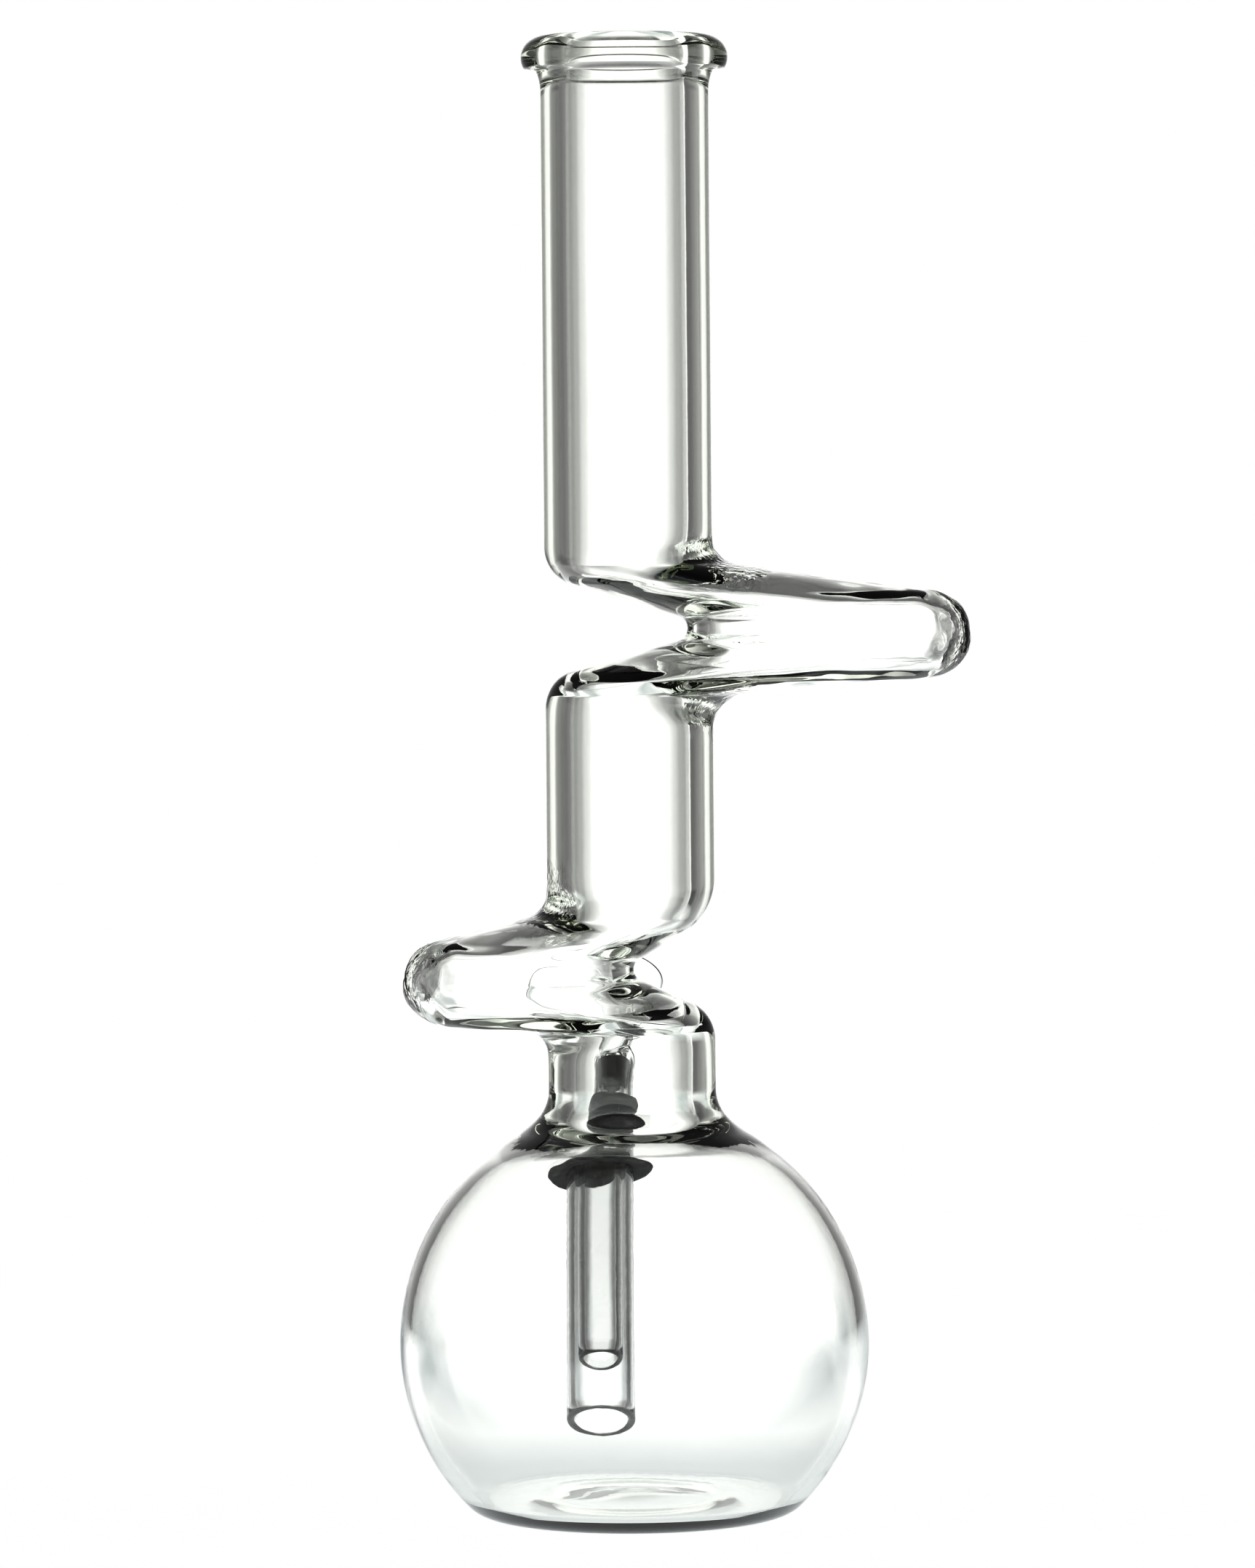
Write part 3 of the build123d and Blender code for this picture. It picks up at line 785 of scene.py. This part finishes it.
floor_fade = ramp(floor_tree, floor_length.outputs["Value"], [(0.30, (1, 1, 1)), (0.60, (0, 0, 0))])
floor_tree.links.new(floor_fade.outputs["Color"], floor_shader.inputs["Alpha"])
floor.data.materials.append(floor_material)

# ---- light: a white surround with graded dark flanks, which draw the edges of the glass ----------
# How dark the surround is at each angle in degrees from the middle of a white window. A window
# is (middle, how far its flank reaches below the middle, how far above it), also in degrees.
DARKEST = 0.95
WIDE = 62                             # a flank this wide ends by turning clear again
SHADE = ((9, 0.0), (12, 0.35), (18, 0.72), (27, 0.86), (38, 0.93), (50, DARKEST))
FLOOR_SHADE = ((9, 0.0), (18, 0.72), (38, DARKEST))
FLOOR_WINDOWS = ((90, 22, 22), (135, 22, 22), (180, 22, WIDE), (315, WIDE, WIDE))


def window_stops(windows, shade=SHADE):
    """Stops over the full turn: white windows with graded dark flanks, clear beyond them."""
    stops = []
    for centre, low_edge, high_edge in windows:
        for way, edge in ((-1, low_edge), (1, high_edge)):
            for away, value in shade:
                if away < edge - 1:
                    stops.append((centre + way * away, value))
            if edge == WIDE:
                stops.append((centre + way * (edge - 3), DARKEST))
                stops.append((centre + way * edge, 0.0))
    return [(a, (v, v, v)) for a, v in sorted(((a % 360) / 360, v) for a, v in stops)]


def full_turn(tree, x, y):
    """The share of a full turn, from +X towards +Y, of a direction or place."""
    share = linked_math(tree, "DIVIDE", linked_math(tree, "ARCTAN2", y, x), 2 * math.pi)
    return linked_math(tree, "MODULO", linked_math(tree, "ADD", share, 1.0), 1.0)


# The floor glows plain white to the camera. Seen through or in the glass, its glow carries painted
# shade: a soft painted shadow round the foot, and further off the same white windows and painted dark
# flanks as the surround.
floor_split = floor_tree.nodes.new("ShaderNodeSeparateXYZ")
floor_tree.links.new(floor_place.outputs["Object"], floor_split.inputs["Vector"])
floor_turn = full_turn(floor_tree, floor_split.outputs["X"], floor_split.outputs["Y"])
floor_windows = ramp(floor_tree, floor_turn, window_stops(FLOOR_WINDOWS, FLOOR_SHADE))
# painted shadow: the glow darkens within about 0.06 to 0.17 m of the middle, round the foot
floor_painted_shadow = ramp(
    floor_tree, floor_length.outputs["Value"], [(0.06, (1, 1, 1)), (0.17, (0, 0, 0))]
)
floor_far = ramp(
    floor_tree, floor_length.outputs["Value"], [(0.05, (0.2, 0.2, 0.2)), (0.22, (1, 1, 1))]
)
floor_shade = linked_math(
    floor_tree, "MAXIMUM",
    linked_math(floor_tree, "MULTIPLY", floor_windows.outputs["Color"], floor_far.outputs["Color"]),
    linked_math(floor_tree, "MULTIPLY", floor_painted_shadow.outputs["Color"], 0.55),
)
# painted shade: the floor's glow falls from bright white to a teal grey where the shade is painted
floor_glow = ramp(floor_tree, floor_shade, [(0.0, (1.5, 1.5, 1.5)), (0.9, (0.34, 0.41, 0.42))])
floor_rays = floor_tree.nodes.new("ShaderNodeLightPath")
floor_mix = floor_tree.nodes.new("ShaderNodeMix")
floor_mix.data_type = "RGBA"
floor_tree.links.new(floor_rays.outputs["Is Camera Ray"], floor_mix.inputs[0])
floor_tree.links.new(floor_glow.outputs["Color"], floor_mix.inputs[6])
floor_mix.inputs[7].default_value = (0.97, 0.97, 0.97, 1)
floor_tree.links.new(floor_mix.outputs[2], floor_shader.inputs["Emission Color"])

world = bpy.data.worlds.new("studio")
scene.world = world
world.use_nodes = True
tree = world.node_tree
tree.nodes.clear()
place = tree.nodes.new("ShaderNodeTexCoord")
split = tree.nodes.new("ShaderNodeSeparateXYZ")
tree.links.new(place.outputs["Generated"], split.inputs["Vector"])


def math_node(operation, a, b=None):
    return linked_math(tree, operation, a, b)


turn = full_turn(tree, split.outputs["X"], split.outputs["Y"])
rise = math_node("DIVIDE", math_node("ARCSINE", split.outputs["Z"]), math.pi)
rise = math_node("ADD", rise, 0.5)    # 0 straight down, 0.5 level, 1 straight up


def dark_flanks(windows):
    return ramp(tree, turn, window_stops(windows)).outputs["Color"]


def band(stops):
    """A share that depends on height alone, from stops of (degrees above level, share)."""
    return ramp(tree, rise, [((a + 90) / 180, (v, v, v)) for a, v in stops]).outputs["Color"]


# level with the eye, a little below it, and lower still
level = dark_flanks([(90, WIDE, 45), (180, 45, WIDE)])
level_band = band([(-12, 0), (-9, 1), (50, 1), (58, 0)])
flank_band = band([(-22, 0), (-19, 1), (50, 1), (58, 0)])
low = dark_flanks([(315, WIDE, WIDE)])
low_band = band([(-21, 0), (-19, 1), (-12, 1), (-9, 0)])
lowest = dark_flanks([(135, WIDE, WIDE)])
lowest_band = band([(-36, 0), (-33, 1), (-21, 1), (-19, 0)])
# behind the camera all is dark but for one narrow white strip, as shares of a full turn
CLEAR, SHADED = (0, 0, 0), (DARKEST, DARKEST, DARKEST)
front = ramp(
    tree, turn,
    [(0.58, CLEAR), (0.62, SHADED), (0.645, SHADED), (0.65, CLEAR),
     (0.662, CLEAR), (0.667, SHADED), (0.90, SHADED), (0.95, CLEAR)],
).outputs["Color"]
roof = band([(13, 0), (20, 0.62), (30, 0.84), (42, 0.93), (89, 0.93)])
dark = math_node("MULTIPLY", front, level_band)
dark = math_node("MAXIMUM", dark, math_node("MULTIPLY", level, flank_band))
dark = math_node("MAXIMUM", dark, math_node("MULTIPLY", low, low_band))
dark = math_node("MAXIMUM", dark, math_node("MULTIPLY", lowest, lowest_band))
dark = math_node("MAXIMUM", dark, roof)
strength = math_node("MULTIPLY", math_node("SUBTRACT", 1.0, dark), 1.35)
# the camera itself sees plain white
rays = tree.nodes.new("ShaderNodeLightPath")
camera_share = rays.outputs["Is Camera Ray"]
kept = math_node("MULTIPLY", strength, math_node("SUBTRACT", 1.0, camera_share))
strength = math_node("ADD", kept, camera_share)
background = tree.nodes.new("ShaderNodeBackground")
background.inputs["Color"].default_value = (1, 1, 1, 1)
tree.links.new(strength, background.inputs["Strength"])
output = tree.nodes.new("ShaderNodeOutputWorld")
tree.links.new(background.outputs["Background"], output.inputs["Surface"])

# ---- camera --------------------------------------------------------------------------------------
CAMERA_PLACE = Vector((-0.0004, -1.439, 0.2128))
CAMERA_AIM = Vector((-0.0005, 0.0, 0.1510))
CAMERA_ROLL = 0.47
camera_data = bpy.data.cameras.new("camera")
camera_data.lens = 160.3
camera_data.sensor_width = 36
camera_data.clip_start = 0.05
camera = bpy.data.objects.new("camera", camera_data)
bpy.context.collection.objects.link(camera)
look = (CAMERA_AIM - CAMERA_PLACE).to_track_quat("-Z", "Y").to_matrix().to_4x4()
roll = Matrix.Rotation(math.radians(-CAMERA_ROLL), 4, "Z")
camera.matrix_world = Matrix.Translation(CAMERA_PLACE) @ look @ roll
scene.camera = camera
scene.view_settings.view_transform = "Standard"
